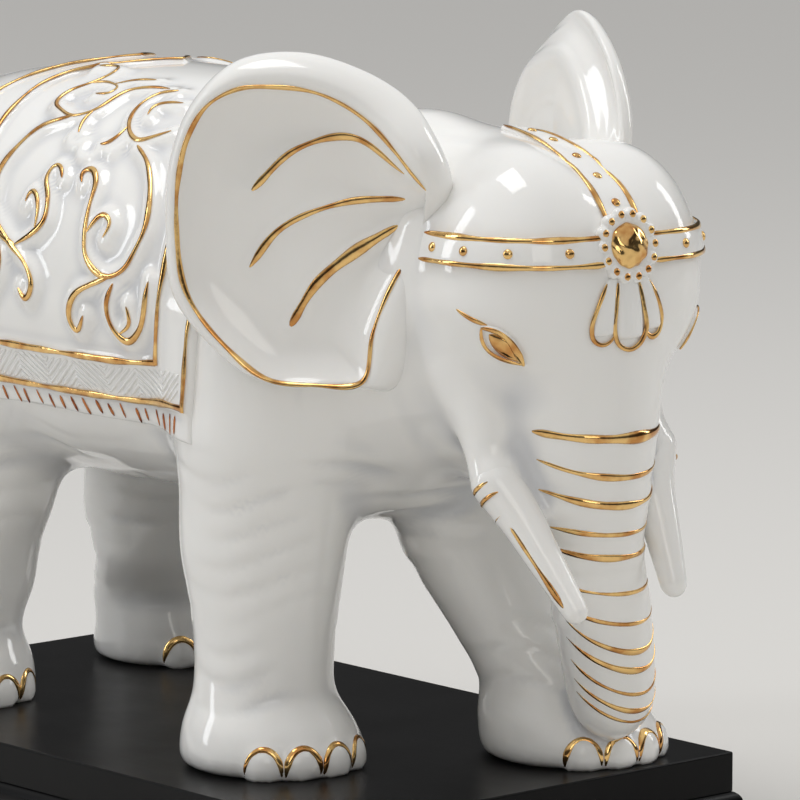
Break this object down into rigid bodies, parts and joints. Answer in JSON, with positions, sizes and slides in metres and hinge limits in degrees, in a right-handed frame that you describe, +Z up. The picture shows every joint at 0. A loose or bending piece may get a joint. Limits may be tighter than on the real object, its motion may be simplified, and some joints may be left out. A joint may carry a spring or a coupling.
{
  "type": "porcelain elephant figurine",
  "caption": "Glazed white elephant with gold lines, saddle cloth and jewelled headband, standing on a black lacquered plinth it can be lifted from.",
  "frame": {"origin": "centre of the plinth's felt underside", "axes": "+X the way the elephant faces, +Y its left side, +Z up"},
  "size_m": [0.4193, 0.2034, 0.308],
  "materials": {
    "glazed_porcelain": "clear gloss glaze over a white porcelain body",
    "gold_lustre": "bright fired gold lustre over the glaze",
    "black_lacquer": "black lacquer, satin to gloss",
    "bare_softwood": "sawn, unfinished",
    "black_felt": "pressed felt, glued on",
    "zinc_plated_steel": "bright zinc plate"
  },
  "bodies": {
    "plinth": {"felt_base": "black_felt", "base_board": "black_lacquer", "corner_blocks": "bare_softwood", "top_board": "black_lacquer", "plinth_screws": "zinc_plated_steel", "rail_left": "black_lacquer", "rail_right": "black_lacquer", "rail_rear": "black_lacquer", "rail_front": "black_lacquer"},
    "figure": {"crown_strap": "glazed_porcelain", "ear_left": "glazed_porcelain", "ear_right": "glazed_porcelain", "eye_left": "gold_lustre", "eye_right": "gold_lustre", "fringe_left": "glazed_porcelain", "fringe_right": "glazed_porcelain", "head_shell": "glazed_porcelain", "headband": "glazed_porcelain", "leg_front_left": "glazed_porcelain", "leg_front_right": "glazed_porcelain", "leg_rear_left": "glazed_porcelain", "leg_rear_right": "glazed_porcelain", "pendant": "glazed_porcelain", "rosette_beads": "gold_lustre", "rosette_boss": "gold_lustre", "rosette_disc": "glazed_porcelain", "saddle_cloth": "glazed_porcelain", "tail": "glazed_porcelain", "toenails_front_left": "glazed_porcelain", "toenails_front_right": "glazed_porcelain", "toenails_rear_left": "glazed_porcelain", "toenails_rear_right": "glazed_porcelain", "torso_shell": "glazed_porcelain", "trunk": "glazed_porcelain", "tusk_left": "glazed_porcelain", "tusk_right": "glazed_porcelain"}
  },
  "joints": [
    {"name": "figure_lift", "type": "slide", "parent": "plinth", "child": "figure", "axis": [0, 0, 1], "range_m": [0, 0.06]}
  ]
}
